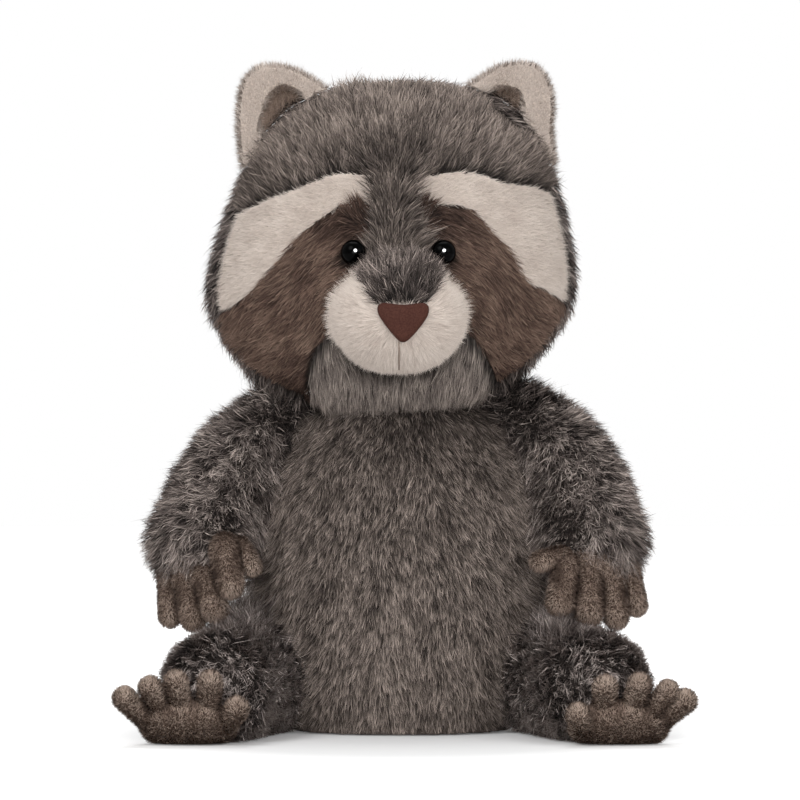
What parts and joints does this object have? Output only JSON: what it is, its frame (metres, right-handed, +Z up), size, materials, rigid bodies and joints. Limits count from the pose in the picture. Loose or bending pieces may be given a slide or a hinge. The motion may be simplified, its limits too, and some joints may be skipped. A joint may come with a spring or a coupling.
{
  "type": "plush raccoon",
  "caption": "Sitting soft toy raccoon with long grey-brown fur, pale brows and snout, brown eye patches and velour paws; rests on its flat base",
  "frame": {"origin": "middle of the flat base that the toy sits on", "axes": "+Z up, -Y the way the toy faces, +X the toy's own left"},
  "size_m": [0.2224, 0.2332, 0.2663],
  "materials": {
    "grey_fur": "long grey-brown pile, pale at the tips",
    "charcoal_fur": "curly charcoal pile, grey at the tips",
    "cream_fur": "short pinkish cream pile",
    "brown_fur": "brown pile",
    "brown_velour": "very short brown velour",
    "nose_cloth": "smooth matt reddish brown cloth",
    "eye_plastic": "polished black",
    "washer_plastic": "black moulded plastic",
    "filling": "loose white polyester fibre",
    "pouch_cloth": "plain woven cloth, filled with pellets"
  },
  "bodies": {
    "root": {"arm_left": "charcoal_fur", "arm_right": "charcoal_fur", "arm_stuffing_left": "filling", "arm_stuffing_right": "filling", "body_stuffing": "filling", "brow_left": "cream_fur", "brow_right": "cream_fur", "chin_left": "grey_fur", "chin_right": "grey_fur", "crown_panel": "grey_fur", "ear_left": "cream_fur", "ear_lining_left": "brown_fur", "ear_lining_right": "brown_fur", "ear_right": "cream_fur", "eye_left": "eye_plastic", "eye_right": "eye_plastic", "eye_washer_left": "washer_plastic", "eye_washer_right": "washer_plastic", "foot_left": "brown_velour", "foot_right": "brown_velour", "hand_left": "brown_velour", "hand_right": "brown_velour", "head_back_panel": "charcoal_fur", "head_stuffing": "filling", "leg_left": "charcoal_fur", "leg_right": "charcoal_fur", "leg_stuffing_left": "filling", "leg_stuffing_right": "filling", "mask_left": "brown_fur", "mask_right": "brown_fur", "muzzle_bridge": "charcoal_fur", "muzzle_left": "cream_fur", "muzzle_right": "cream_fur", "nose": "nose_cloth", "pellet_pouch": "pouch_cloth", "seat_panel": "charcoal_fur", "tail_band_1": "grey_fur", "tail_band_2": "charcoal_fur", "tail_band_3": "grey_fur", "tail_band_4": "charcoal_fur", "tail_band_5": "grey_fur", "tail_stuffing": "filling", "torso_back": "grey_fur", "torso_front": "grey_fur"}
  },
  "joints": []
}
